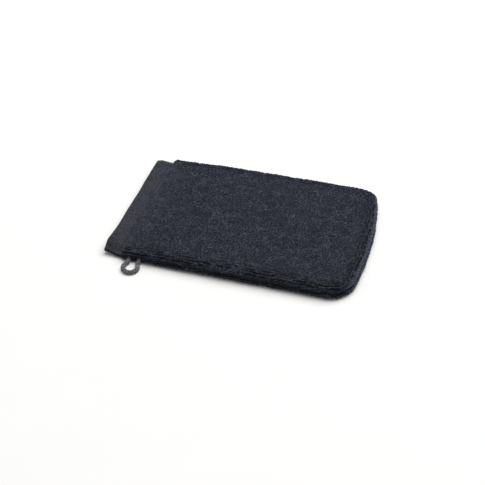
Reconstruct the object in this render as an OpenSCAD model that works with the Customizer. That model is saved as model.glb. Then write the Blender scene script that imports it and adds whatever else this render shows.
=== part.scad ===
// Terry wash mitt: two plump terry panels sewn together round three sides and turned,
// an open cuff with a folded flat-woven hem on each side, and a cord loop for hanging.
// It lies palm down. The cuff is at -X, the closed end at +X, and the loop leaves the -Y seam.

/* [Mitt] */
// Length from the cuff edge to the closed end
mitt_length = 210; // [150:1:260]
// Width across the terry body
body_width = 140; // [110:1:180]
// Width across the cuff edge
cuff_width = 135; // [100:1:170]
// Radius of the corner at the closed end on the loop's side
near_corner_radius = 23; // [16:1:32]
// Radius of the other corner at the closed end
far_corner_radius = 16; // [16:1:32]
// Radius of the slightly bowed closed end
end_radius = 340; // [200:5:900]

/* [Terry] */
// Thickness of one terry panel, pile on both faces
cloth_t = 2.8; // [2:0.1:4]
// Height of the hand space inside the body, at its sides
pocket_gap = 6; // [5:0.1:12]
// How far the middle of the upper panel puffs up above its shoulders
crown = 1; // [0.2:0.1:4]
// Height of the hand space where the body meets the hem
neck_gap = 4.6; // [4.4:0.1:8]
// How far the terry stands out sideways from the hem
terry_step = 2; // [0.5:0.1:5]
// Length over which the body swells from the hem to its full size
flare_length = 55; // [20:1:90]

/* [Hem] */
// Width of the hem band, along the mitt
hem_width = 15; // [8:0.5:30]
// Thickness of the folded hem, two layers of flat weave
hem_t = 1.6; // [0.8:0.1:2.6]
// Height of the lower hem above the surface that the pile rests on
hem_lift = 0.8; // [0.5:0.1:1.5]
// Height of the mouth between the two hems
mouth_gap = 5; // [4.6:0.1:10]
// Width of the side strip where the mouth closes down to the seam
mouth_side = 10; // [6:0.5:16]

/* [Seam] */
// Width of the seam allowance, turned to the inside
allowance_w = 7; // [4:0.5:9]
// How far the lower panel rolls out past the seam
edge_round = 3; // [1.5:0.1:5]
// How far the upper panel's edge stays inside the lower one
top_setback = 1; // [0:0.1:2]
// Width of the upper panel's rounded shoulder
shoulder_w = 7; // [3:0.5:9]
// Height of the seam along the body
seam_height = 5.5; // [4.5:0.1:7]

/* [Thread] */
// Diameter of the hem sewing thread
thread_d = 0.5; // [0.3:0.05:0.8]
// Length of one hem stitch
stitch_length = 2.6; // [1.5:0.1:4]
// Gap between two hem stitches
stitch_gap = 0.5; // [0.3:0.1:1]
// Distance from the hem stitching to the terry
stitch_inset = 1.6; // [1:0.1:4]
// Diameter of the overlock edging over the raw allowances
overlock_d = 1.6; // [1:0.1:2.2]

/* [Loop] */
// Distance from the cuff edge to the middle of the loop
loop_offset = 26; // [22:0.5:60]
// Diameter of the loop's cord
cord_d = 3.5; // [2.4:0.1:4]
// Distance between the seam edge and the line that the loop swings about
loop_reach = 2.4; // [2:0.1:4]
// Length of cord that is sewn into the seam
tail_length = 8; // [6:0.5:9]

/* [Hidden] */

terry_color = [0.18, 0.19, 0.22];
hem_color = [0.22, 0.23, 0.25];
thread_color = [0.13, 0.14, 0.16];
cord_color = [0.52, 0.52, 0.56];

clearance = 0.3;
allowance_slope = 0.6;
side_steps = 11;
corner_steps = 6;
end_steps = 3;
rim_steps = 5;
cord_sides = 8;
tube_sides = 8;
seam_thread_d = 0.7;
$fn = 24;

// Stations along X
cuff_x = -mitt_length / 2;
end_x = mitt_length / 2;
terry_x = cuff_x + hem_width;
loop_x = cuff_x + loop_offset;

// The closed end is one large arc about this centre
end_centre_x = end_x - end_radius;

// Heights
neck_height = 2 * cloth_t + neck_gap;
body_height = 2 * cloth_t + pocket_gap;
neck_seam_height = cloth_t + 0.4;
hem_seam_height = hem_lift + hem_t;
allowance_inset = edge_round + allowance_w;
// The side seam's line of stitches, and how far outside it the corner tacks lie
seam_inset = edge_round + allowance_w / 4;
tack_offset = 1.75;

function ease(t) = let (u = min(max(t, 0), 1)) u * u * (3 - 2 * u);
function flare(x) = ease((x - terry_x) / flare_length);
function blend_to(a, b, t) = a + (b - a) * t;
function half_width(x) = blend_to(cuff_width / 2 + terry_step, body_width / 2, flare(x));
function top_height(x) = blend_to(neck_height, body_height, flare(x));
function seam_z(x) = blend_to(neck_seam_height, seam_height, flare(x));

// The loop's route from leg to leg, as it lies, from the middle of its swing line
loop_route = [[-4.4, 0], [-4.9, -1.4], [-5.5, -2.9], [-5.8, -4.7], [-5.6, -6.7], [-4.7, -8.6],
              [-3.2, -10.2], [-1.2, -11.2], [0.9, -11.5], [2.9, -11], [4.6, -9.7],
              [5.8, -7.9], [6.2, -5.9], [6, -4.2], [5.4, -2.6], [4.8, -1.3], [4.3, 0]];
leg_x = [loop_x + loop_route[0][0], loop_x + loop_route[len(loop_route) - 1][0]];
// The line that the loop swings about, clear of the body where it is widest beside the loop
swing_y = -half_width(leg_x[1] + cord_d / 2) - loop_reach;
swing_z = cord_d / 2 + 0.1;

// Half the outline of the terry body, from the hem to the middle of the end: the side, an
// arc of radius r round the corner, and the large end arc that this arc meets smoothly
function half_outline(r) =
    let (corner_y = body_width / 2 - r,
         end_angle = asin(corner_y / (end_radius - r)),
         corner_x = end_centre_x + (end_radius - r) * cos(end_angle))
    concat([for (i = [0:side_steps])
               let (x = blend_to(terry_x, corner_x, i / side_steps)) [x, -half_width(x)]],
           [for (i = [1:corner_steps])
               let (a = blend_to(-90, -end_angle, i / corner_steps))
               [corner_x + r * cos(a), -corner_y + r * sin(a)]],
           [for (i = [1:end_steps])
               let (a = -end_angle * (1 - i / end_steps))
               [end_centre_x + end_radius * cos(a), end_radius * sin(a)]]);
near_half = half_outline(near_corner_radius);
far_half = half_outline(far_corner_radius);
middle = len(near_half) - 1;
outline = concat(near_half, [for (i = [middle - 1:-1:0]) [far_half[i].x, -far_half[i].y]]);
last = len(outline) - 1;

function unit(v) = v / norm(v);
// Direction into the body, square to the outline
function inward(i) =
    i == 0 ? [0, 1] :
    i == last ? [0, -1] :
    let (t = unit(outline[i + 1] - outline[i - 1])) [-t.y, t.x];
function inset_point(i, d) = outline[i] + d * inward(i);

// The lower panel's section, from the seam over the rolled edge to the floor, as [inset, height]
function lower_rim(x) = [for (k = [0:rim_steps])
    let (a = blend_to(90, -90, k / rim_steps))
    [edge_round * (1 - cos(a)), seam_z(x) * (1 + sin(a)) / 2]];
// The upper panel's section, from the seam over the shoulder to the top, as [inset, height]
function upper_rim(x) = [for (k = [0:rim_steps])
    let (a = blend_to(-90, 90, k / rim_steps),
         run = a < 0 ? edge_round - top_setback : shoulder_w)
    [top_setback + run * (1 - cos(a)),
     blend_to(seam_z(x), top_height(x), (1 + sin(a)) / 2)]];
// The inner faces: the allowance, then a short slope to the cloth's own thickness
function lower_inner(x) = [[allowance_inset + allowance_slope, cloth_t],
                           [allowance_inset, seam_z(x)]];
function upper_inner(x) = [[allowance_inset + allowance_slope, top_height(x) - cloth_t],
                           [allowance_inset, seam_z(x)]];

// A panel swept round the outline. Its section at station x is rim(x) followed by inner(x).
// Its outer face and its inner face are closed across the body by a spine, lifted by
// spine_lift(x) above their edges, and one flat face closes the edge at the hem.
module panel(rim_at, inner_at, spine_lift) {
    rows = [for (i = [0:last]) let (x = outline[i].x) concat(rim_at(x), inner_at(x))];
    levels = len(rows[0]);
    outer = rim_steps;
    inner = rim_steps + 1;
    rim_points = [for (i = [0:last]) for (s = rows[i])
        let (p = inset_point(i, s[0])) [p.x, p.y, s[1]]];
    spine_points = [for (k = [outer, inner]) for (i = [1:middle - 1])
        let (p = rim_points[i * levels + k]) [p.x, 0, p.z + spine_lift(p.x)]];
    function near(k, i) = i * levels + k;
    function far(k, i) = (last - i) * levels + k;
    function spine(k, i) = len(rim_points) + (k - outer) * (middle - 1) + i - 1;
    function cover(k, i) =
        i == 0 ? [[near(k, 0), near(k, 1), spine(k, 1)], [near(k, 0), spine(k, 1), far(k, 0)],
                  [far(k, 0), spine(k, 1), far(k, 1)]] :
        i == middle - 1 ? [[near(k, i), near(k, middle), spine(k, i)],
                           [spine(k, i), near(k, middle), far(k, i)]] :
        [[near(k, i), near(k, i + 1), spine(k, i)],
         [near(k, i + 1), spine(k, i + 1), spine(k, i)],
         [spine(k, i), spine(k, i + 1), far(k, i + 1)], [spine(k, i), far(k, i + 1), far(k, i)]];
    sides = [for (i = [0:last - 1]) for (k = [0:levels - 1])
        if (k != outer)
            let (n = (k + 1) % levels)
            [near(k, i), near(k, i + 1), near(n, i + 1), near(n, i)]];
    covers = [for (k = [outer, inner]) for (i = [0:middle - 1]) for (face = cover(k, i))
        k == inner ? [face[2], face[1], face[0]] : face];
    hem_face = concat([for (k = [outer:-1:0]) far(k, 0)],
                      [for (k = [levels - 1:-1:inner]) far(k, 0)],
                      [for (k = [inner:levels - 1]) near(k, 0)],
                      [for (k = [0:outer]) near(k, 0)]);
    polyhedron(points = concat(rim_points, spine_points),
               faces = concat(sides, covers, [hem_face]), convexity = 6);
}

module lower_terry_panel() {
    color(terry_color)
    panel(function (x) lower_rim(x), function (x) lower_inner(x), function (x) 0);
}

// The upper section runs the other way round, so its mirror image is swept and turned back.
module upper_terry_panel() {
    color(terry_color)
    mirror([0, 0, 1])
    panel(function (x) [for (s = upper_rim(x)) [s[0], -s[1]]],
          function (x) [for (s = upper_inner(x)) [s[0], -s[1]]],
          function (x) -crown * flare(x));
}

// A shape drawn across the mitt, pulled along it
module along_mitt(x, length) {
    translate([x, 0, 0])
    rotate([90, 0, 90])
    linear_extrude(height = length)
    children();
}

// The lower hem lies flat, with the fold's round edge at each side
module lower_cuff_hem() {
    flat = cuff_width - hem_t;
    color(hem_color)
    along_mitt(cuff_x, hem_width)
    union() {
        translate([-flat / 2, hem_lift])
        square([flat, hem_t]);
        for (side = [-1, 1])
            translate([side * flat / 2, hem_lift + hem_t / 2])
            circle(d = hem_t);
    }
}

// The upper hem rises from each side seam to hold the mouth open
function hem_rise(d) = mouth_gap * ease(d / mouth_side);
upper_hem_edge = [for (i = [0:8]) let (d = mouth_side * i / 8)
    [cuff_width / 2 - d, hem_seam_height + hem_rise(d)]];

module upper_cuff_hem() {
    left = [for (p = upper_hem_edge) [-p.x, p.y]];
    right = [for (i = [len(upper_hem_edge) - 1:-1:0]) upper_hem_edge[i]];
    under = concat(left, right);
    over = [for (i = [len(under) - 1:-1:0]) under[i] + [0, hem_t]];
    color(hem_color)
    along_mitt(cuff_x, hem_width)
    polygon(concat(under, over));
}

// A round tube along points, with domed ends. Its rings stand square to the route.
module tube(route, d, sides) {
    n = len(route) - 1;
    function step(i) = unit(route[min(i + 1, n)] - route[max(i - 1, 0)]);
    function across(i) = unit(cross(step(i), [0, 0, 1]));
    dome = [[-1, 0.3], [-0.7, 0.71], [0, 1]];
    rings = concat([for (s = dome) [0, s[0], s[1]]],
                   [for (i = [1:n - 1]) [i, 0, 1]],
                   [for (k = [2:-1:0]) [n, -dome[k][0], dome[k][1]]]);
    points = [for (ring = rings)
        let (i = ring[0],
             centre = route[i] + step(i) * ring[1] * d / 2,
             side = across(i),
             up = cross(side, step(i)))
        for (k = [0:sides - 1])
        centre + (side * cos(360 * k / sides) + up * sin(360 * k / sides)) * ring[2] * d / 2];
    skin = [for (i = [0:len(rings) - 2]) for (k = [0:sides - 1])
        [i * sides + k, i * sides + (k + 1) % sides,
         (i + 1) * sides + (k + 1) % sides, (i + 1) * sides + k]];
    first_cap = [for (k = [sides - 1:-1:0]) k];
    last_cap = [for (k = [0:sides - 1]) (len(rings) - 1) * sides + k];
    polyhedron(points = points, faces = concat(skin, [first_cap, last_cap]), convexity = 6);
}

// One row of stitches across the mitt, between the two places where the hem starts to drop
module hem_stitches(z) {
    pitch = stitch_length + stitch_gap;
    count = floor((cuff_width - 2 * mouth_side) / pitch);
    for (i = [0:count - 1])
        translate([terry_x - stitch_inset, (i - count / 2) * pitch + stitch_gap / 2, z])
        rotate([-90, 0, 0])
        cylinder(d = thread_d, h = stitch_length);
}

// Each row is half sunk into its hem
module lower_hem_stitching() {
    color(thread_color)
    hem_stitches(hem_lift);
}

module upper_hem_stitching() {
    color(thread_color)
    hem_stitches(hem_seam_height + mouth_gap + hem_t);
}

// The sewn line between the two panels, and on through the hems to the cuff
module side_seam_stitching() {
    hem_y = cuff_width / 2 - seam_inset;
    hem_start = cuff_x + seam_thread_d;
    near = [[hem_start, -hem_y, hem_seam_height]];
    far = [[hem_start, hem_y, hem_seam_height]];
    body = [for (i = [0:last])
        let (p = inset_point(i, seam_inset)) [p.x, p.y, seam_z(outline[i].x)]];
    color(thread_color)
    tube(concat(near, body, far), seam_thread_d, tube_sides);
}

// The thread that wraps the raw edges of both allowances, lying free inside the mitt
module overlock_edging() {
    inset = allowance_inset + allowance_slope + overlock_d / 2;
    floor_z = cloth_t + overlock_d / 2 + clearance / 2;
    body = [for (i = [1:last - 1]) let (p = inset_point(i, inset))
        [p.x, p.y, max(seam_z(outline[i].x), floor_z)]];
    color(thread_color)
    tube(body, overlock_d, tube_sides);
}

// Back-stitched thread that stops the side seams opening at the mouth
module cuff_corner_tacks() {
    tack_l = 6;
    tack_w = 1.2;
    bite = 0.5;
    from_edge = seam_inset - tack_offset;
    rise = hem_rise(from_edge);
    color(thread_color)
    for (side = [-1, 1])
        translate([cuff_x + tack_l / 2 + 1,
                   side * (cuff_width / 2 - from_edge), hem_seam_height + rise / 2])
        cube([tack_l, tack_w, rise + 2 * bite], center = true);
}

// The two ends of the cord, caught between the panels and turned down over the rolled edge
module loop_sewn_ends() {
    outer_y = swing_y + cord_d + clearance;
    color(cord_color)
    for (x = leg_x)
        let (edge = -half_width(x), z = seam_z(x))
        tube([[x, edge + tail_length, z], [x, edge + edge_round, z],
              [x, (edge + edge_round + outer_y) / 2, (z + swing_z) / 2], [x, outer_y, swing_z]],
             cord_d, cord_sides);
}

// Dense stitching through both allowances that holds each cord end
module loop_bar_tacks() {
    tack = [4.4, 1.4, 3.6];
    color(thread_color)
    for (x = leg_x)
        translate([x, -half_width(x) + edge_round + allowance_w / 2, seam_z(x)])
        cube(tack, center = true);
}

// The free part of the loop, which swings about the line where its legs leave the seam
module hanging_loop() {
    color(cord_color)
    translate([loop_x, swing_y, swing_z])
    tube([for (p = loop_route) [p.x, p.y, 0]], cord_d, cord_sides);
}

lower_terry_panel();
upper_terry_panel();
lower_cuff_hem();
upper_cuff_hem();
lower_hem_stitching();
upper_hem_stitching();
side_seam_stitching();
overlock_edging();
cuff_corner_tacks();
loop_sewn_ends();
loop_bar_tacks();
hanging_loop();
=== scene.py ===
"""A terry wash mitt lying on a pale floor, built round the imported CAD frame.

The two terry panels are meshes with their own loop pile, opened in grooves where the cloth
rolls over the seam. The flat-woven hems, every sewing thread and the braided hanging loop are
pieces of their own. Shapes are worked out in millimetres and made in metres.
"""

import bpy
import numpy as np
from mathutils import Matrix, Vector


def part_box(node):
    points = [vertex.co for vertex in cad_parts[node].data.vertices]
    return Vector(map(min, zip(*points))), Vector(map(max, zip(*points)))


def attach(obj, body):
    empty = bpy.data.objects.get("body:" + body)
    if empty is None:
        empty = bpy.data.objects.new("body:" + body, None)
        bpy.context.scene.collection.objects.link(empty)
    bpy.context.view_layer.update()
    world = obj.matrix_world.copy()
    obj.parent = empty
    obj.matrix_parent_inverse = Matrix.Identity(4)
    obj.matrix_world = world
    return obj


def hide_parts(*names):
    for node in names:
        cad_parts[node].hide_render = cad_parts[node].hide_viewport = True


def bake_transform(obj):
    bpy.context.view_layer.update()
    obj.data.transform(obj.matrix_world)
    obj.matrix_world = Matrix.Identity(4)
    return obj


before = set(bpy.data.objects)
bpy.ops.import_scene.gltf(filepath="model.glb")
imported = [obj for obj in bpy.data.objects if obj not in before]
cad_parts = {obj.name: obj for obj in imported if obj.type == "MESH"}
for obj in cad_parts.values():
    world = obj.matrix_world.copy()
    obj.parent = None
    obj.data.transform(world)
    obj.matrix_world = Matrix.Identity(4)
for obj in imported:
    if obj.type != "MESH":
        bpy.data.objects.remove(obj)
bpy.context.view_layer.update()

# ---------------------------------------------------------------- sizes, in millimetres
MM = 0.001


def node_box(name):
    """Lowest and highest corner of a CAD node, in millimetres."""
    low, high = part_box(name)
    return [c / MM for c in low], [c / MM for c in high]


terry_low, terry_high = node_box("lower_terry_panel")
_, top_high = node_box("upper_terry_panel")
hem_low, hem_high = node_box("upper_cuff_hem")
under_hem_low, under_hem_high = node_box("lower_cuff_hem")

# Read from the frame: where the cuff, the terry and the closed end are, and the half widths
CUFF_X = hem_low[0]
TERRY_X = terry_low[0]
END_X = terry_high[0]
BODY_HALF = terry_high[1]
HEM_HALF = hem_high[1]

# The flat height of the terry body, and how far its middle stands above that
CROWN = 1.0
BODY_TOP = top_high[2] - CROWN

# The hems: their thickness, the height of the lower one, the line where they meet at the side
# seams, and the mouth, which opens by its full gap over a distance from each side
HEM_T = under_hem_high[2] - under_hem_low[2]
HEM_LIFT = under_hem_low[2]
HEM_SEAM_Z = under_hem_high[2]
MOUTH_SIDE = 10.0
MOUTH_GAP = hem_high[2] - HEM_SEAM_Z - HEM_T

# The terry body: it flares from a lower and narrower neck by the hem to its full size
CLOTH_T = 2.8
NECK_TOP = 10.2
NECK_HALF = HEM_HALF + 2.0
FLARE_LENGTH = 55.0
NEAR_CORNER_R = 23.0
FAR_CORNER_R = 16.0
END_R = 340.0
END_CENTRE_X = END_X - END_R

# The side seam: its height, the rolled edges over and under it, and the turned-in allowance
SEAM_Z = 5.5
NECK_SEAM_Z = CLOTH_T + 0.4
EDGE_ROUND = 3.0
TOP_SETBACK = 1.0
SHOULDER = 7.0
ALLOWANCE = 7.0

# The hanging loop: where it lies, how far past the edge it hangs, how far short of that line
# each leg ends, and its route from leg to leg, as in the CAD model
LOOP_X = CUFF_X + 26.0
CORD_D = 3.5
TAIL_LENGTH = 8.0
LOOP_REACH = 2.4
BEND = 2.6
LOOP_ROUTE = [(-4.4, 0), (-4.9, -1.4), (-5.5, -2.9), (-5.8, -4.7), (-5.6, -6.7), (-4.7, -8.6),
              (-3.2, -10.2), (-1.2, -11.2), (0.9, -11.5), (2.9, -11), (4.6, -9.7),
              (5.8, -7.9), (6.2, -5.9), (6, -4.2), (5.4, -2.6), (4.8, -1.3), (4.3, 0)]
LEG_X = (LOOP_X + LOOP_ROUTE[0][0], LOOP_X + LOOP_ROUTE[-1][0])


# ---------------------------------------------------------------- the mitt's outline
def ease(t):
    """0 to 1 with a smooth start and end."""
    u = np.clip(t, 0.0, 1.0)
    return u * u * (3 - 2 * u)


def between(a, b, t):
    """The value a share t of the way from a to b."""
    return a + (b - a) * t


def flare(x):
    """0 at the hem, 1 where the terry body has its full size."""
    return ease((x - TERRY_X) / FLARE_LENGTH)


def half_width(x):
    """Half the terry body's width at x."""
    return between(NECK_HALF, BODY_HALF, flare(x))


def top_height(x):
    """Height of the upper panel's flat face at x."""
    return between(NECK_TOP, BODY_TOP, flare(x))


def seam_height(x):
    """Height of the side seam at x."""
    return between(NECK_SEAM_Z, SEAM_Z, flare(x))


def corner_at(radius):
    """Centre of a corner arc, and the angle at which it meets the end arc."""
    centre_y = BODY_HALF - radius
    meets = np.arcsin(centre_y / (END_R - radius))
    return END_CENTRE_X + (END_R - radius) * np.cos(meets), centre_y, meets


# ---------------------------------------------------------------- noise
def random_at(i, j, seed):
    """A fixed random number from 0 to 1 for each pair of whole numbers, from an integer hash."""
    n = i.astype(np.int64) * 374761393 + j.astype(np.int64) * 668265263 + seed * 2246822519
    n &= 0xFFFFFFFF
    n = ((n ^ (n >> 13)) * 1274126177) & 0xFFFFFFFF
    n = ((n ^ (n >> 16)) * 2654435761) & 0xFFFFFFFF
    return ((n >> 8) & 0xFFFF) / 65535.0


def soft_noise(u, v, seed):
    """Smooth noise from -1 to 1, with features one unit across."""
    i = np.floor(u)
    j = np.floor(v)
    fu = ease(u - i)
    fv = ease(v - j)
    low = between(random_at(i, j, seed), random_at(i + 1, j, seed), fu)
    high = between(random_at(i, j + 1, seed), random_at(i + 1, j + 1, seed), fu)
    return 2 * between(low, high, fv) - 1


# ---------------------------------------------------------------- meshes, paths and tubes
def make_mesh(name, points, faces):
    """A smooth-shaded mesh object from points in millimetres."""
    mesh = bpy.data.meshes.new(name)
    mesh.from_pydata((np.asarray(points, float) * MM).tolist(), [], faces)
    mesh.update()
    mesh.shade_smooth()
    obj = bpy.data.objects.new(name, mesh)
    bpy.context.scene.collection.objects.link(obj)
    return obj


def set_attribute(obj, name, values):
    """A number on each vertex, for the material to read."""
    layer = obj.data.attributes.new(name, "FLOAT", "POINT")
    layer.data.foreach_set("value", np.asarray(values, np.float32))


def grid_faces(rows, columns, first, flip):
    """Quads of a grid of points, row by row."""
    faces = []
    for i in range(rows - 1):
        for j in range(columns - 1):
            k = first + i * columns + j
            quad = (k, k + columns, k + columns + 1, k + 1)
            faces.append(quad[::-1] if flip else quad)
    return faces


def length_along(path):
    """Distance along a path from its start to each of its points."""
    steps = np.linalg.norm(np.diff(path, axis=0), axis=1)
    return np.concatenate([[0], np.cumsum(steps)])


def smooth_path(points, step):
    """A Catmull-Rom curve through the points, resampled at equal steps."""
    p = np.asarray(points, float)
    p = np.vstack([2 * p[0] - p[1], p, 2 * p[-1] - p[-2]])
    points_per_span = 24
    t = np.linspace(0, 1, points_per_span, endpoint=False)[:, None]
    fine = []
    for k in range(1, len(p) - 2):
        before, start, stop, after = p[k - 1:k + 3]
        fine.append(0.5 * (2 * start + (stop - before) * t
                           + (2 * before - 5 * start + 4 * stop - after) * t ** 2
                           + (3 * start - before - 3 * stop + after) * t ** 3))
    fine.append(p[-2][None])
    fine = np.vstack(fine)
    length = length_along(fine)
    count = max(int(round(length[-1] / step)), 2)
    at = np.linspace(0, length[-1], count + 1)
    return np.stack([np.interp(at, length, fine[:, k]) for k in range(3)], 1)


def path_frames(path):
    """Two square axes at each point of a path, carried along it without twist."""
    along = np.gradient(path, axis=0)
    along /= np.linalg.norm(along, axis=1)[:, None]
    side = np.cross(along[0], (0, 0, 1))
    if np.linalg.norm(side) < 1e-6:
        side = np.cross(along[0], (0, 1, 0))
    sides = []
    for direction in along:
        side = side - direction * (side @ direction)
        side = side / np.linalg.norm(side)
        sides.append(side)
    sides = np.array(sides)
    return sides, np.cross(sides, along)


def tube_grid(path, sides):
    """Length along a path and angle round it, for every point of a tube."""
    angle = np.linspace(0, 2 * np.pi, sides, endpoint=False)
    return np.meshgrid(length_along(path), angle, indexing="ij")


def tube_points(path, radius, sides):
    """Points of a tube. Its radius may differ from point to point."""
    side, up = path_frames(path)
    _, angle = tube_grid(path, sides)
    sideways = side[:, None] * (radius * np.cos(angle))[..., None]
    upward = up[:, None] * (radius * np.sin(angle))[..., None]
    return (path[:, None] + sideways + upward).reshape(-1, 3)


def tube_faces(rings, sides, first=0):
    """Quads round a tube of rings, with a face at each end."""
    faces = [(first + r * sides + k, first + r * sides + (k + 1) % sides,
              first + (r + 1) * sides + (k + 1) % sides, first + (r + 1) * sides + k)
             for r in range(rings - 1) for k in range(sides)]
    faces.append(tuple(first + k for k in range(sides - 1, -1, -1)))
    faces.append(tuple(first + (rings - 1) * sides + k for k in range(sides)))
    return faces


# ---------------------------------------------------------------- camera
LENS = 70.0
SENSOR = 36.0
CAMERA_AT = (0.1661, -0.6015, 0.5077)
CAMERA_AIM = (-0.0007, -0.0203, 0.0)


def aim(obj, at, target):
    """Places a camera or lamp, in metres, and turns it towards the target."""
    obj.location = at
    obj.rotation_mode = "QUATERNION"
    obj.rotation_quaternion = (Vector(target) - Vector(at)).to_track_quat("-Z", "Y")


camera_data = bpy.data.cameras.new("camera")
camera_data.lens = LENS
camera_data.sensor_width = SENSOR
camera = bpy.data.objects.new("camera", camera_data)
bpy.context.scene.collection.objects.link(camera)
aim(camera, CAMERA_AT, CAMERA_AIM)
bpy.context.scene.camera = camera


# ---------------------------------------------------------------- shader helpers
def new_material(name):
    """A material with a Principled shader only. Returns the material, its tree and shader."""
    material = bpy.data.materials.new(name)
    material.use_nodes = True
    tree = material.node_tree
    tree.nodes.clear()
    shader = tree.nodes.new("ShaderNodeBsdfPrincipled")
    output = tree.nodes.new("ShaderNodeOutputMaterial")
    tree.links.new(shader.outputs["BSDF"], output.inputs["Surface"])
    return material, tree, shader


def add_node(tree, kind, inputs, **settings):
    """A node with its settings; inputs maps a socket's name to a value or another socket."""
    node = tree.nodes.new(kind)
    for key, value in settings.items():
        setattr(node, key, value)
    for key, value in inputs.items():
        if isinstance(value, bpy.types.NodeSocket):
            tree.links.new(value, node.inputs[key])
        else:
            node.inputs[key].default_value = value
    return node


def place(tree):
    """The point in the part's own frame, in metres."""
    return tree.nodes.new("ShaderNodeTexCoord").outputs["Object"]


def noise(tree, scale, detail=2.0, roughness=0.5):
    """A noise pattern whose features are about 1/scale metres across."""
    inputs = {"Vector": place(tree), "Scale": scale, "Detail": detail, "Roughness": roughness}
    return add_node(tree, "ShaderNodeTexNoise", inputs).outputs["Fac"]


def bands(tree, direction, scale, distortion):
    """Slightly wavy bands across a direction."""
    inputs = {"Vector": place(tree), "Scale": scale, "Distortion": distortion, "Detail": 1.0}
    return add_node(tree, "ShaderNodeTexWave", inputs, wave_type="BANDS",
                    bands_direction=direction, wave_profile="SIN").outputs["Fac"]


def vertex_value(tree, name):
    """The number that set_attribute put on each vertex."""
    return add_node(tree, "ShaderNodeAttribute", {}, attribute_name=name).outputs["Fac"]


def math_node(tree, operation, a, b):
    """One sum or product of two values or sockets."""
    return add_node(tree, "ShaderNodeMath", {0: a, 1: b}, operation=operation).outputs[0]


def weighted_sum(tree, *parts):
    """The sum of some values, each given with its weight."""
    total = None
    for value, weight in parts:
        part = math_node(tree, "MULTIPLY", value, weight)
        total = part if total is None else math_node(tree, "ADD", total, part)
    return total


def colour_from(tree, shader, factor, stops):
    """Colours the shader by a ramp; stops are (place, colour)."""
    node = add_node(tree, "ShaderNodeValToRGB", {"Fac": factor})
    elements = node.color_ramp.elements
    while len(elements) > 1:
        elements.remove(elements[-1])
    elements[0].position = stops[0][0]
    elements[0].color = (*stops[0][1], 1)
    for at, colour in stops[1:]:
        elements.new(at).color = (*colour, 1)
    tree.links.new(node.outputs["Color"], shader.inputs["Base Color"])


def bump(tree, shader, height, distance, strength):
    """Fine relief in the shader's surface; distance is in metres."""
    inputs = {"Height": height, "Distance": distance, "Strength": strength}
    node = add_node(tree, "ShaderNodeBump", inputs)
    tree.links.new(node.outputs["Normal"], shader.inputs["Normal"])


def cloth_gloss(shader, sheen, sheen_roughness, tint, roughness):
    """The dull, slightly dusty surface of cotton."""
    shader.inputs["Roughness"].default_value = roughness
    shader.inputs["Specular IOR Level"].default_value = 0.25
    shader.inputs["Sheen Weight"].default_value = sheen
    shader.inputs["Sheen Roughness"].default_value = sheen_roughness
    shader.inputs["Sheen Tint"].default_value = (*tint, 1)


# ---------------------------------------------------------------- materials
def terry_material():
    """Dark navy cotton loops, with painted shade between the loops and in the grooves and a
    painted highlight along the closed end, mottled over a few centimetres.
    """
    material, tree, shader = new_material("terry_pile")
    # The "pile" value is painted shading: painted shade between the loops and in the grooves,
    # and a painted highlight along the closed end
    total = weighted_sum(tree, (vertex_value(tree, "pile"), 0.55),
                         (vertex_value(tree, "tone"), 0.16),
                         (noise(tree, 95.0, 4.0, 0.7), 0.40),
                         (noise(tree, 900.0, 2.0, 0.7), 0.40))
    colour_from(tree, shader, total, [(0.35, (0.002, 0.003, 0.005)),
                                      (0.62, (0.010, 0.012, 0.019)),
                                      (0.86, (0.031, 0.036, 0.052)),
                                      (1.0, (0.070, 0.079, 0.108))])
    cloth_gloss(shader, 0.05, 0.5, (0.55, 0.60, 0.78), 0.95)
    bump(tree, shader, noise(tree, 2300.0, 3.0, 0.65), 0.0005, 0.8)
    return material


def hem_material():
    """Flat plain weave: fine ribs along the mitt, with painted shade between them, crossed by
    finer weft threads.
    """
    material, tree, shader = new_material("hem_weave")
    # The ribs' height, as "pile", paints shade between the ribs and also gives their bump
    ribs = vertex_value(tree, "pile")
    weft = bands(tree, "X", 420.0, 0.8)
    weave = weighted_sum(tree, (ribs, 0.36), (weft, 0.14))
    total = weighted_sum(tree, (weave, 1.0), (noise(tree, 150.0, 3.0, 0.6), 0.35),
                         (noise(tree, 560.0, 2.0, 0.6), 0.8))
    colour_from(tree, shader, total, [(0.50, (0.004, 0.005, 0.007)),
                                      (0.84, (0.0215, 0.024, 0.032)),
                                      (1.0, (0.062, 0.068, 0.088))])
    cloth_gloss(shader, 0.05, 0.5, (0.65, 0.68, 0.78), 0.9)
    bump(tree, shader, weave, 0.0003, 0.7)
    return material


def thread_material():
    """Twisted sewing thread: fine slanting plies and a tone of its own for each stitch."""
    material, tree, shader = new_material("navy_thread")
    plies = bands(tree, "DIAGONAL", 900.0, 1.5)
    total = weighted_sum(tree, (plies, 0.5), (vertex_value(tree, "tone"), 0.5))
    colour_from(tree, shader, total, [(0.0, (0.006, 0.007, 0.010)),
                                      (1.0, (0.030, 0.033, 0.042))])
    cloth_gloss(shader, 0.1, 0.4, (0.7, 0.7, 0.8), 0.6)
    bump(tree, shader, plies, 0.0001, 0.6)
    return material


def cord_material():
    """Marled grey cord: light and dark yarns side by side with painted shade in the dips between
    the strands, furry at a fine scale.
    """
    material, tree, shader = new_material("cord_yarn")
    # The braid's relief, as "pile", paints shade into the dips between the strands
    total = weighted_sum(tree, (vertex_value(tree, "pile"), 0.55),
                         (vertex_value(tree, "tone"), 0.28), (noise(tree, 1400.0), 0.34))
    colour_from(tree, shader, total, [(0.25, (0.016, 0.017, 0.020)),
                                      (0.6, (0.080, 0.082, 0.095)),
                                      (0.95, (0.25, 0.255, 0.285))])
    cloth_gloss(shader, 0.1, 0.5, (0.85, 0.87, 1.0), 0.85)
    bump(tree, shader, noise(tree, 2600.0, 3.0, 0.6), 0.0004, 0.7)
    return material


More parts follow.
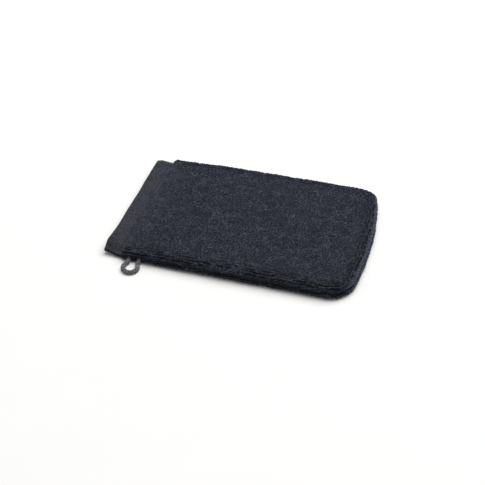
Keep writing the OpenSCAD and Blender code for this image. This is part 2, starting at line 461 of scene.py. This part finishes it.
TERRY = terry_material()
HEM = hem_material()
THREAD = thread_material()
CORD = cord_material()


def finish_piece(obj, material, node):
    """Gives a piece its material and slot, hides its CAD node and lets it ride on the mitt."""
    obj.data.materials.append(material)
    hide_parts(node)
    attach(obj, "mitt")


# ---------------------------------------------------------------- the hanging loop
# The cord's mesh: points round it, the step along it, and its height off the floor
CORD_SIDES = 32
CORD_STEP = 0.16
FLOOR_CLEARANCE = 0.1

# The braid: its strands, the length in which one winds round once, the depth of its relief
# and the part of that which lies under the cord's own radius
STRANDS = 4
BRAID_LEAD = 9.5
BRAID_DEPTH = 0.55
BRAID_MEAN = 0.62


def leg_points(x, swing, low):
    """One leg of the loop: from its sewn end over the rolled edge down to the swing line."""
    edge = -half_width(x)
    seam = seam_height(x)
    level_until = edge + EDGE_ROUND + 2.4
    halfway_down = edge + 1.4
    sag = 0.6
    return [(x, edge + TAIL_LENGTH, seam), (x, level_until, seam),
            (x, edge + EDGE_ROUND, seam - sag), (x, halfway_down, (seam + low) / 2 - sag),
            (x, swing + BEND, low)]


def loop_path():
    """Centreline of the whole cord, sewn end to sewn end, and its swing line's y and z."""
    swing = -half_width(LEG_X[1] + CORD_D / 2) - LOOP_REACH
    low = CORD_D / 2 + FLOOR_CLEARANCE
    start, stop = [leg_points(x, swing, low) for x in LEG_X]
    free = [(LOOP_X + x, swing + y, low) for x, y in LOOP_ROUTE]
    return smooth_path(start + free + stop[::-1], CORD_STEP), swing, low


def braid(s, angle):
    """Relief and yarn of a braid at length s and angle round it. Half its strands wind each
    way, and p and q count them."""
    p = STRANDS * (angle / (2 * np.pi) + s / BRAID_LEAD)
    q = STRANDS * (angle / (2 * np.pi) - s / BRAID_LEAD)
    p_on_top = (np.floor(p) + np.floor(q)) % 2
    p_hump = np.sin(np.pi * (p % 1.0))
    q_hump = np.sin(np.pi * (q % 1.0))
    across = np.where(p_on_top > 0, p_hump, q_hump)
    lengthwise = np.where(p_on_top > 0, q_hump, p_hump)
    relief = np.sqrt(across) * between(0.45, 1.0, lengthwise)
    first_q_yarn = 40
    yarn = np.where(p_on_top > 0, np.floor(p), np.floor(q) + first_q_yarn)
    return relief, random_at(yarn, p_on_top, 5)


def make_loop():
    """The whole cord, from sewn end to sewn end."""
    path, swing, low = loop_path()
    relief, yarn = braid(*tube_grid(path, CORD_SIDES))
    radius = CORD_D / 2 + BRAID_DEPTH * (relief - BRAID_MEAN)
    obj = make_mesh("hanging_cord", tube_points(path, radius, CORD_SIDES),
                    tube_faces(len(path), CORD_SIDES))
    # The relief goes to the material as "pile", which paints shade in the dips between the
    # strands
    set_attribute(obj, "pile", relief.ravel())
    set_attribute(obj, "tone", yarn.ravel())
    obj.data.materials.append(CORD)
    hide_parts("hanging_loop", "loop_sewn_ends")
    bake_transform(obj)


make_loop()


# ---------------------------------------------------------------- terry panels
# The terry loops: their spacing, half their length and width, the depth of the pile and the
# share of it that its mean height is
LOOP_PITCH = 1.6
ROW_PITCH = 1.4
LOOP_LONG = 1.2
LOOP_SHORT = 0.85
PILE = 1.25
MEAN_RELIEF = 0.55

# The pile is shorter by the hem and the seam, and full from these distances on. It starts
# from nothing over the two margins.
PILE_BY_HEM = 0.5
SMOOTH_BY_HEM = 24.0
PILE_BY_SEAM = 0.9
FULL_FROM_SEAM = 17.0
HEM_MARGIN = 0.8
SEAM_MARGIN = 1.2

# Painted shading, 0 to 1, standing in for the shade between the loops: the even value that
# the loops fade towards by the hem, how far they do, how much painted shade the grooves get,
# and the shade and tone of the inner face
EVEN_SHADE = 0.62
EVEN_BY_HEM = 0.5
GROOVE_PAINTED_SHADE = 0.8
INNER_SHADE = 0.55
INNER_TONE = 0.5

# The crown fades out over this distance from the closed end. The top has long shallow waves,
# and the pile lies on shorter ones.
CROWN_FADE = 45.0
WAVE_HEIGHT = 0.35
WAVE_LENGTH = 38.0
WAVE_WIDTH = 30.0
WAVE_SHIFT = (3.3, 7.1)
RIPPLE_HEIGHT = 0.3
RIPPLE_SIZE = 9.0

# Rows of grooves in the rolled edge: their spacing and depth, and the strength of each row
# from the seam inwards, along the sides and along the closed end. The one gives way to the
# other over a distance round the corner.
GROOVE_PITCH = 2.7
GROOVE_DEPTH = 1.6
SIDE_ROWS = (1.0, 1.0, 0.85, 0.65, 0.4)
END_ROWS = (0.1, 0.1, 1.25, 0.8, 0.4)
END_BLEND = 12.0

# The painted highlight along the rim of the closed end: its distance from the seam, its width
# and strength
RIM_DEPTH = 4.5
RIM_WIDTH = 2.6
RIM_LIGHT = 0.5

# Grid steps of the outer face, which is finer in a band along its edges. The inner face has
# one step for every few of the outer face.
GRID_STEP = 0.42
COARSE_STEP = 1.2
FINE_BAND = 18.0
INNER_STEP = 3

# Heights of the mitt's underside and of its lowest loops
UNDERSIDE_Z = 0.45
LOWEST_Z = 0.02

# Added to places in the cloth, so that the numbers of its terry loops are all above zero
LOOP_ORIGIN = 500.0


def outer_section(upper):
    """Arc length, inset and share of the height from the seam to the flat face."""
    turn = np.radians(np.linspace(-90, 90, 61))
    if upper:
        run = np.where(turn < 0, EDGE_ROUND - TOP_SETBACK, SHOULDER)
        inset = TOP_SETBACK + run * (1 - np.cos(turn))
        rise = BODY_TOP - SEAM_Z
    else:
        inset = EDGE_ROUND * (1 - np.cos(turn))
        rise = SEAM_Z
    share = (1 + np.sin(turn)) / 2
    steps = np.hypot(np.diff(inset), np.diff(share) * rise)
    return np.concatenate([[0], np.cumsum(steps)]), inset, share


def inner_section(outer):
    """The same three columns for the inside: seam allowance, step, then the inner face."""
    arc, inset, _ = outer
    start = EDGE_ROUND + 0.4
    edge = EDGE_ROUND + ALLOWANCE
    edge_arc = edge - start
    step_arc = 3.0
    step_inset = 0.6
    flat_arc = 17.0
    flat_inset = flat_arc - arc[-1] + inset[-1]
    return (np.array([0, edge_arc, edge_arc + step_arc, flat_arc]),
            np.array([start, edge, edge + step_inset, flat_inset]),
            np.array([0.0, 0.0, 1.0, 1.0]))


def nearer_the_side(a, b, reach):
    """Whether a fabric point is nearer to a side seam than to the closed end."""
    length, half = reach
    return half - np.abs(b) <= length - a


def plan_point(a, b, depth, section, reach):
    """Plan place of a fabric point that lies a along from the hem and b across from the
    middle. depth is its distance in the fabric from the nearest sewn edge, and reach holds
    the cloth's length and half its width."""
    length, half = reach
    arc, inset_table, _ = section
    inset = np.where(depth < arc[-1], np.interp(depth, arc, inset_table),
                     depth - arc[-1] + inset_table[-1])
    corner_r = np.where(b < 0, NEAR_CORNER_R, FAR_CORNER_R)
    corner_x, corner_y, _ = corner_at(corner_r)
    radius = np.maximum(corner_r - inset, 0)
    turn_y = corner_y - np.maximum(inset - corner_r, 0)
    end_radius = END_R - inset
    bow = np.arcsin(np.clip(turn_y / (END_R - np.maximum(inset, corner_r)), 0, 1))
    turn_x = np.where(inset < corner_r, corner_x, END_CENTRE_X + end_radius * np.cos(bow))
    half_corner = radius * (np.pi / 2 - bow) / 2
    tiny = 1e-6

    straight = turn_x - TERRY_X
    s = (straight + half_corner) * a / np.maximum(length - depth, tiny)
    angle = np.maximum(s - straight, 0) / np.maximum(radius, tiny)
    side_x = TERRY_X + np.minimum(s, straight) + radius * np.sin(angle)
    width = half_width(side_x)
    side_y = width - inset + (BODY_HALF - width) * (inset / BODY_HALF) ** 2
    side_y = side_y - radius * (1 - np.cos(angle))

    end_arc = bow * end_radius
    s = (end_arc + half_corner) * np.abs(b) / np.maximum(half - depth, tiny)
    phi = np.minimum(s, end_arc) / end_radius
    angle = bow + np.maximum(s - end_arc, 0) / np.maximum(radius, tiny)
    on_arc = s <= end_arc
    end_x = np.where(on_arc, END_CENTRE_X + end_radius * np.cos(phi),
                     turn_x + radius * np.cos(angle))
    end_y = np.where(on_arc, end_radius * np.sin(phi), turn_y + radius * np.sin(angle))

    on_side = nearer_the_side(a, b, reach)
    x = np.where(on_side, side_x, end_x)
    y = np.where(on_side, side_y, end_y)
    return x, y * np.where(b < 0, -1, 1)


def panel_height(x, y, share, upper, inner):
    """Height of a panel's outer or inner face, before its pile is added."""
    seam = seam_height(x)
    if not upper:
        return between(seam, CLOTH_T if inner else UNDERSIDE_Z, share)
    across = np.maximum(1 - (y / BODY_HALF) ** 2, 0)
    swell = flare(x) * ease((END_X - x) / CROWN_FADE) * across
    wave = soft_noise(x / WAVE_LENGTH + WAVE_SHIFT[0], y / WAVE_WIDTH + WAVE_SHIFT[1], 91)
    top = top_height(x) + CROWN * swell + WAVE_HEIGHT * wave * share
    return between(seam, top - CLOTH_T if inner else top, share)


def roll_at_hem(a, y, z, upper):
    """Draws in the last rows of pile before the hem, and leans the upper ones down to it."""
    lean_length = 3.0
    draw_in = 0.8
    lean_down = 1.2
    full_lean_height = 4.0
    drop = 1 - ease(a / lean_length)
    y = y * (1 - drop * draw_in / HEM_HALF)
    if upper:
        z = z - drop * lean_down * ease((z - NECK_SEAM_Z) / full_lean_height)
    return y, z


def panel_face(a, b, section, reach, upper, inner):
    """Points of a panel's outer or inner face, and their distance in the fabric from the
    nearest sewn edge."""
    length, half = reach
    depth = np.minimum(length - a, half - np.abs(b))
    x, y = plan_point(a, b, depth, section, reach)
    share = np.interp(depth, section[0], section[2])
    z = panel_height(x, y, share, upper, inner)
    if not inner:
        y, z = roll_at_hem(a, y, z, upper)
    return np.stack([x, y, z], -1).reshape(-1, 3), depth


def loops_at(a, b, seed):
    """Relief, 0 to 1, and tone of the terry loops at fabric places a and b."""
    u = a / LOOP_PITCH
    v = b / ROW_PITCH
    best = np.zeros(a.shape)
    tone = np.zeros(a.shape)
    for di in (-1, 0, 1):
        for dj in (-1, 0, 1):
            i = np.floor(u) + di
            j = np.floor(v) + dj
            stagger = 0.25 * (j % 2)
            du = (u - i - 0.5 - stagger - 0.7 * (random_at(i, j, seed) - 0.5)) * LOOP_PITCH
            dv = (v - j - 0.5 - 0.6 * (random_at(i, j, seed + 1) - 0.5)) * ROW_PITCH
            lean = np.pi * random_at(i, j, seed + 2)
            long_way = du * np.cos(lean) + dv * np.sin(lean)
            short_way = dv * np.cos(lean) - du * np.sin(lean)
            r2 = (long_way / LOOP_LONG) ** 2 + (short_way / LOOP_SHORT) ** 2
            tall = between(0.5, 1.0, random_at(i, j, seed + 3))
            relief = tall * np.maximum(1 - r2, 0) ** 0.7
            tone = np.where(relief > best, random_at(i, j, seed + 4), tone)
            best = np.maximum(best, relief)
    return best, tone


def grooves_at(run, depth, at_end, seed):
    """How deep the pile opens, 0 to 1, where the cloth rolls over the seam. run is the
    distance along the edge and depth the distance in the fabric from the seam. at_end is 1
    along the closed end, where the rows nearest the seam stay shut. Each row wanders about
    its line, varies in width and is broken into long and short dashes."""
    noise_row_step = 3.7
    total = np.zeros(run.shape)
    for k in range(1, len(SIDE_ROWS) + 1):
        row = np.full(run.shape, k * noise_row_step)
        centre = k * GROOVE_PITCH + 0.6 * soft_noise(run / 8.0, row, seed)
        centre = centre + 0.45 * soft_noise(run / 2.6, row, seed + 1)
        width = 0.6 + 0.15 * soft_noise(run / 5.0, row, seed + 2)
        long_dash = ease(0.8 + 1.3 * soft_noise(run / 5.5, row, seed + 3))
        short_dash = ease(0.9 + 1.8 * soft_noise(run / 2.0, row, seed + 4))
        dash = between(long_dash * between(0.55, 1.0, short_dash), short_dash, at_end)
        fade = between(SIDE_ROWS[k - 1], END_ROWS[k - 1], at_end)
        total = np.maximum(total, fade * dash * np.exp(-((depth - centre) / width) ** 2))
    return total


def pile_at(a, b, depth, reach, seed):
    """Rise of the outer face along its normals, and the painted shading and the tone of its
    terry loops.
    """
    length, half = reach
    relief, tone = loops_at(a + LOOP_ORIGIN, b + LOOP_ORIGIN, seed)
    relief = relief * (0.9 + 0.2 * soft_noise(a / 5.5, b / 4.5, seed + 6))
    end_run_from = 1000.0
    run = np.where(nearer_the_side(a, b, reach), a, b + end_run_from)
    at_end = ease((half - np.abs(b) - length + a) / END_BLEND)
    groove = grooves_at(run, depth, at_end, seed + 20)

    from_hem = ease(a / SMOOTH_BY_HEM)
    from_seam = ease(depth / FULL_FROM_SEAM)
    at_edge = ease(depth / SEAM_MARGIN) * ease(a / HEM_MARGIN)
    pile = PILE * between(PILE_BY_HEM, 1.0, from_hem) * between(PILE_BY_SEAM, 1.0, from_seam)
    ripple = RIPPLE_HEIGHT * soft_noise(a / RIPPLE_SIZE, b / RIPPLE_SIZE, seed + 30)
    rise = (pile * (relief - MEAN_RELIEF) - GROOVE_DEPTH * groove) * at_edge
    rise = rise + ripple * at_edge

    # Painted shade between the loops: the lower a point of the pile, the darker it is painted,
    # more evenly by the hem
    shade = between(relief, EVEN_SHADE, EVEN_BY_HEM * (1 - from_hem))
    # The band along the closed end that gets a painted highlight
    rim_highlight = at_end * np.exp(-((depth - RIM_DEPTH) / RIM_WIDTH) ** 2)
    # Adds the painted highlight on the rim and painted shade in the grooves
    shade = np.clip(shade + RIM_LIGHT * rim_highlight - GROOVE_PAINTED_SHADE * groove, 0, 1)
    return rise, shade, tone


def stations(low, high, coarse):
    """Grid lines from low to high, finer near both ends, in a multiple of the inner step."""
    spans = [(low, low + FINE_BAND, GRID_STEP), (low + FINE_BAND, high - FINE_BAND, coarse),
             (high - FINE_BAND, high, GRID_STEP)]
    parts = []
    for start, stop, step in spans:
        inner_count = max(int(round((stop - start) / step / INNER_STEP)), 1)
        parts.append(np.linspace(start, stop, INNER_STEP * inner_count, endpoint=False))
    return np.concatenate(parts + [[high]])


def boundary(rows, columns):
    """Indices round the rim of a grid, in order."""
    ring = [(i, 0) for i in range(rows - 1)]
    ring += [(rows - 1, j) for j in range(columns - 1)]
    ring += [(i, columns - 1) for i in range(rows - 1, 0, -1)]
    ring += [(0, j) for j in range(columns - 1, 0, -1)]
    return [i * columns + j for i, j in ring]


def rim_faces(outer_shape, inner_shape, first, flip):
    """Faces that join the rim of the outer grid to that of the inner grid."""
    fine_ring = boundary(*outer_shape)
    coarse_ring = [first + k for k in boundary(*inner_shape)]
    faces = []
    for k, corner in enumerate(coarse_ring):
        strip = [fine_ring[(INNER_STEP * k + n) % len(fine_ring)]
                 for n in range(INNER_STEP + 1)]
        strip += [coarse_ring[(k + 1) % len(coarse_ring)], corner]
        faces.append(tuple(strip[::-1] if flip else strip))
    return faces


def vertex_normals(obj, count):
    """Normals of an object's first vertices."""
    normals = np.zeros(len(obj.data.vertices) * 3, np.float32)
    obj.data.vertex_normals.foreach_get("vector", normals)
    return normals.reshape(-1, 3)[:count]


def make_panel(name, upper, coarse, node, seed):
    """One terry panel: a fine outer face with its pile and a plainer inner face, joined round
    the edge into one closed piece."""
    outer = outer_section(upper)
    inner = inner_section(outer)
    length = outer[0][-1] + END_X - TERRY_X - outer[1][-1]
    half = outer[0][-1] + BODY_HALF - outer[1][-1]
    reach = (length, half)
    a, b = np.meshgrid(stations(0, length, coarse), stations(-half, half, coarse),
                       indexing="ij")
    inner_a = a[::INNER_STEP, ::INNER_STEP]
    inner_b = b[::INNER_STEP, ::INNER_STEP]
    outside, depth = panel_face(a, b, outer, reach, upper, False)
    inside, _ = panel_face(inner_a, inner_b, inner, reach, upper, True)
    first = len(outside)
    faces = grid_faces(*a.shape, 0, not upper)
    faces += grid_faces(*inner_a.shape, first, upper)
    faces += rim_faces(a.shape, inner_a.shape, first, upper)
    obj = make_mesh(name, np.vstack([outside, inside]), faces)

    rise, shade, tone = pile_at(a, b, depth, reach, seed)
    outside = outside + vertex_normals(obj, first) * rise.reshape(-1, 1)
    outside[:, 2] = np.maximum(outside[:, 2], LOWEST_Z)
    points = np.vstack([outside, inside])
    obj.data.vertices.foreach_set("co", (points * MM).astype(np.float32).ravel())
    obj.data.update()
    inner_shade = np.full(len(inside), INNER_SHADE)
    inner_tone = np.full(len(inside), INNER_TONE)
    # The painted shading goes to the material as "pile"; the inner face gets one even value
    set_attribute(obj, "pile", np.concatenate([shade.ravel(), inner_shade]))
    set_attribute(obj, "tone", np.concatenate([tone.ravel(), inner_tone]))
    finish_piece(obj, TERRY, node)
    return obj


upper_panel = make_panel("terry_back_panel", True, GRID_STEP, "upper_terry_panel", 11)
lower_panel = make_panel("terry_palm_panel", False, COARSE_STEP, "lower_terry_panel", 51)


# ---------------------------------------------------------------- cuff hems
# The weave's ribs, how far the hem reaches in under the terry, and its points across
RIB_PITCH = 1.15
RIB_RELIEF = 0.1
HEM_TUCK = 2.0
HEM_COLUMNS = 781

# The dent along the row of stitches
STITCH_X = TERRY_X - 1.6
DENT_DEPTH = 0.28
DENT_WIDTH = 0.7

# How far the ribs wander, and the heights of the weave's small creases, of the band's waves
# and of the waves in its cuff edge
RIB_WANDER = 0.5
CREASE = 0.12
BAND_WAVE = 0.25
EDGE_WAVE = 0.3

# How the cuff leans from square. Its near corner, from this distance off the middle, is
# pushed past the cuff's edge, drawn in and lifted, and its far side pushed out and lifted.
NEAR_FROM = 30.0
NEAR_PUSH = 1.3
NEAR_DRAW_IN = 2.0
NEAR_LIFT = 1.7
FAR_PUSH = 1.0
FAR_LIFT = 0.4


def lean_cuff(x, y, z):
    """The place that a point of the square cuff moves to as the cuff leans."""
    out = ease((TERRY_X - x) / (TERRY_X - CUFF_X))
    near = ease((-y - NEAR_FROM) / (HEM_HALF - NEAR_FROM))
    far = ease(y / HEM_HALF)
    return (x - NEAR_PUSH * out * near ** 3,
            y + out * (NEAR_DRAW_IN * near + FAR_PUSH * far),
            z + out * (NEAR_LIFT * near + FAR_LIFT * far))


def hem_underside(y, upper):
    """Height of a hem's lower face at y."""
    if not upper:
        return np.full(y.shape, HEM_LIFT)
    return HEM_SEAM_Z + MOUTH_GAP * ease((HEM_HALF - np.abs(y)) / MOUTH_SIDE)


def hem_section():
    """Section of the folded band: its x, and its side of the middle, from 1 to -1."""
    fold = HEM_T / 2
    flat_points = 26
    turn_points = 9
    flat = np.linspace(TERRY_X + HEM_TUCK, CUFF_X + fold, flat_points)
    turn = np.radians(np.linspace(90, 270, turn_points))[1:-1]
    section_x = np.concatenate([flat, CUFF_X + fold + fold * np.cos(turn), flat[::-1]])
    side = np.concatenate([np.full(len(flat), 1.0), np.sin(turn), np.full(len(flat), -1.0)])
    return section_x, side


def hem_faces(rows, columns):
    """Faces of a band whose rows run round its section, closed at the back and both ends."""
    last_row = (rows - 1) * columns
    faces = grid_faces(rows, columns, 0, False)
    faces += [(last_row + k, k, k + 1, last_row + k + 1) for k in range(columns - 1)]
    faces.append(tuple(r * columns for r in range(rows)))
    faces.append(tuple(r * columns + columns - 1 for r in range(rows - 1, -1, -1)))
    return faces


def make_hem(name, upper, node, seed):
    """A band of flat weave folded double over the cuff edge."""
    across = np.linspace(-HEM_HALF, HEM_HALF, HEM_COLUMNS)
    section_x, side = hem_section()
    x, y = np.meshgrid(section_x, across, indexing="ij")
    side = np.broadcast_to(side[:, None], x.shape)
    fold = HEM_T / 2
    middle = hem_underside(y, upper) + fold
    slope = np.gradient(middle[0], across)[None, :]
    stretch = np.sqrt(1 + slope ** 2)
    past_end = np.maximum(np.abs(y) - HEM_HALF + fold, 0) / fold
    end = np.sqrt(np.clip(1 - past_end ** 2, 0.02, 1))
    wander = RIB_WANDER * soft_noise(x / 6, y / 5, seed)
    ribs = RIB_RELIEF * np.cos(2 * np.pi * y / RIB_PITCH + wander)
    dent = DENT_DEPTH * np.exp(-((x - STITCH_X) / DENT_WIDTH) ** 2)
    crease = CREASE * soft_noise(x / 5, y / 6, seed + 1)
    bulge = fold * end + ribs * end - dent + crease
    wave = BAND_WAVE * soft_noise(x / 30, y / 16, seed + 2)
    z = middle + wave + side * bulge / stretch
    y = y - side * bulge * slope / stretch
    x, y, z = lean_cuff(x, y, z)
    x = x + EDGE_WAVE * soft_noise(y / 14, y * 0, seed + 3) * ease((TERRY_X - x) / 8)
    obj = make_mesh(name, np.stack([x, y, z], -1).reshape(-1, 3), hem_faces(*x.shape))
    # The ribs' height, which the material turns into painted shade between the ribs and a bump
    set_attribute(obj, "pile", (0.5 + 0.5 * ribs / RIB_RELIEF).ravel())
    finish_piece(obj, HEM, node)
    return obj


upper_hem = make_hem("back_hem", True, "upper_cuff_hem", 71)
lower_hem = make_hem("palm_hem", False, "lower_cuff_hem", 81)


# ---------------------------------------------------------------- sewing threads
# The hem stitches' length and gap, a thread's mesh, and the step of tone between threads
STITCH = 2.6
STITCH_GAP = 0.5
STITCH_POINTS = 7
THREAD_SIDES = 6
THREAD_TIP = 0.35
TONE_STEP = 0.618

# How deep the ends of a hem stitch lie in the cloth, how far its middle arches up from
# there, and how far it strays from the line
STITCH_SINK = 0.32
STITCH_ARCH = 0.3
STITCH_SWAY = 0.12

# Radii of the four kinds of thread
HEM_THREAD_R = 0.25
SEAM_THREAD_R = 0.3
OVERLOCK_R = 0.2
TACK_THREAD_R = 0.22


def make_threads(name, paths, radius, node):
    """Many separate threads in one piece. Their ends are drawn in to a small tip, and each
    has a tone of its own."""
    points = []
    faces = []
    tone = []
    first = 0
    for number, path in enumerate(paths):
        taper = np.ones(len(path))
        taper[[0, -1]] = THREAD_TIP
        body = tube_points(path, radius * taper[:, None], THREAD_SIDES)
        points.append(body)
        faces.extend(tube_faces(len(path), THREAD_SIDES, first))
        tone.append(np.full(len(body), (number * TONE_STEP) % 1.0))
        first += len(body)
    obj = make_mesh(name, np.vstack(points), faces)
    set_attribute(obj, "tone", np.concatenate(tone))
    finish_piece(obj, THREAD, node)


def hem_stitches(name, upper, node):
    """A row of lockstitches across the hem, each dipping into the cloth at its ends."""
    pitch = STITCH + STITCH_GAP
    count = int((2 * HEM_HALF - 2 * MOUTH_SIDE) / pitch)
    sway_turn = 2.4
    paths = []
    for i in range(count):
        start = (i - count / 2) * pitch + STITCH_GAP / 2
        y = np.linspace(start, start + STITCH, STITCH_POINTS)
        out = STITCH_ARCH * np.sin(np.pi * (y - start) / STITCH) - STITCH_SINK
        face = hem_underside(y, upper)
        z = face + HEM_T + out if upper else face - out
        x = np.full(y.shape, STITCH_X + STITCH_SWAY * np.sin(i * sway_turn))
        paths.append(np.stack([x, y, z], 1))
    make_threads(name, paths, HEM_THREAD_R, node)


def seam_line(inset, lowest):
    """Points round the three sewn sides at an inset from the edge, about a millimetre apart."""
    start_x = TERRY_X + 0.5
    corner_points = 28
    end_points = 49
    halves = []
    for corner_r in (NEAR_CORNER_R, FAR_CORNER_R):
        corner_x, corner_y, meets = corner_at(corner_r)
        side = np.arange(start_x, corner_x)
        turn = np.linspace(-np.pi / 2, -meets, corner_points)
        phi = np.linspace(-meets, 0, end_points)[1:]
        radius = corner_r - inset
        end_radius = END_R - inset
        halves.append(np.vstack([
            np.stack([side, -half_width(side) + inset], 1),
            np.stack([corner_x + radius * np.cos(turn), -corner_y + radius * np.sin(turn)], 1),
            np.stack([END_CENTRE_X + end_radius * np.cos(phi), end_radius * np.sin(phi)], 1)]))
    plan = np.vstack([halves[0], halves[1][-2::-1] * (1, -1)])
    return np.column_stack([plan, np.maximum(seam_height(plan[:, 0]), lowest)])


def wrapped_thread(path, pitch, wide, high, turn_steps):
    """A thread wound round a line: a helix with an oval section."""
    path = smooth_path(path, pitch / turn_steps)
    side, up = path_frames(path)
    angle = 2 * np.pi * np.arange(len(path)) / turn_steps
    return path + side * (wide * np.cos(angle))[:, None] + up * (high * np.sin(angle))[:, None]


def make_side_seam():
    """Lockstitches inside the seam, from cuff to cuff."""
    line = seam_line(EDGE_ROUND + ALLOWANCE / 4, 0)
    from_cuff = 0.7
    drawn_in = 2.5
    cuff_end = np.array([CUFF_X + from_cuff, line[0][1] + drawn_in, HEM_SEAM_Z])
    far_cuff_end = cuff_end * (1, -1, 1)
    step = 0.5
    line = smooth_path(np.vstack([cuff_end, line[::6], line[-1], far_cuff_end]), step)
    stitch_points = 6
    arch = 0.18
    paths = []
    for k in range(0, len(line) - stitch_points + 1, stitch_points):
        stitch = line[k:k + stitch_points].copy()
        stitch[:, 2] += arch * np.sin(np.linspace(0, np.pi, len(stitch)))
        paths.append(stitch)
    make_threads("side_seam_thread", paths, SEAM_THREAD_R, "side_seam_stitching")


def make_overlock():
    """The overlock thread wound over the raw edges of the allowances, inside the mitt."""
    past_allowance = 1.4
    above_cloth = 0.95
    pitch = 1.9
    coil_r = 0.62
    inset = EDGE_ROUND + ALLOWANCE + past_allowance
    line = seam_line(inset, CLOTH_T + above_cloth)[::6]
    coil = wrapped_thread(line, pitch, coil_r, coil_r, 9)
    make_threads("overlock_thread", [coil], OVERLOCK_R, "overlock_edging")


def make_tacks(name, centres, length, high, node):
    """Satin-stitched bars of thread that lie along the mitt."""
    pitch = 0.5
    wide = 0.5
    half = np.array([length / 2, 0, 0])
    paths = [wrapped_thread([centre - half, centre + half], pitch, wide, high, 10)
             for centre in np.array(centres)]
    make_threads(name, paths, TACK_THREAD_R, node)


def cuff_corner_centres():
    """Middles of the tacks that close the side seams at the mouth."""
    x = CUFF_X + 4.0
    z = HEM_SEAM_Z + 0.54
    return [lean_cuff(x, side * (HEM_HALF - EDGE_ROUND), z) for side in (-1, 1)]


def loop_tack_centres():
    """Middles of the tacks through the cord's two sewn ends."""
    return [(x, -half_width(x) + EDGE_ROUND + ALLOWANCE / 2, seam_height(x)) for x in LEG_X]


hem_stitches("back_hem_stitches", True, "upper_hem_stitching")
hem_stitches("palm_hem_stitches", False, "lower_hem_stitching")
make_side_seam()
make_overlock()
make_tacks("cuff_corner_tack_threads", cuff_corner_centres(), 5.6, 0.6, "cuff_corner_tacks")
make_tacks("loop_bar_tack_threads", loop_tack_centres(), 4.2, 1.6, "loop_bar_tacks")

# ---------------------------------------------------------------- floor and light
FLOOR_SIZE = 3.0
FLOOR_DIP = 0.02


def make_floor():
    """A pale sweep, dipped very slightly far away so that no edge shows."""
    count = 25
    line = np.linspace(-FLOOR_SIZE, FLOOR_SIZE, count)
    x, y = np.meshgrid(line, line, indexing="ij")
    z = -FLOOR_DIP * (np.hypot(x, y) / FLOOR_SIZE) ** 4
    points = np.stack([x, y, z], -1).reshape(-1, 3) / MM
    obj = make_mesh("floor", points, grid_faces(count, count, 0, False))
    material, tree, shader = new_material("pale_floor")
    colour_from(tree, shader, noise(tree, 30.0), [(0.0, (0.868, 0.864, 0.852)),
                                                  (1.0, (0.888, 0.884, 0.872))])
    shader.inputs["Roughness"].default_value = 0.9
    shader.inputs["Specular IOR Level"].default_value = 0.1
    obj.data.materials.append(material)


def area_light(name, at, size, power):
    """A round lamp aimed at the mitt."""
    data = bpy.data.lights.new(name, "AREA")
    data.shape = "DISK"
    data.size = size
    data.energy = power
    lamp = bpy.data.objects.new(name, data)
    bpy.context.scene.collection.objects.link(lamp)
    aim(lamp, at, (0, 0, 0))


make_floor()
area_light("key_light", (1.1, 1.7, 2.9), 2.8, 84.0)
area_light("top_light", (-0.3, 0.6, 3.2), 2.2, 42.0)

world = bpy.data.worlds.new("studio")
world.use_nodes = True
background = world.node_tree.nodes["Background"]
background.inputs["Color"].default_value = (1, 1, 1, 1)
background.inputs["Strength"].default_value = 0.36
bpy.context.scene.world = world
bpy.context.scene.view_settings.view_transform = "Standard"
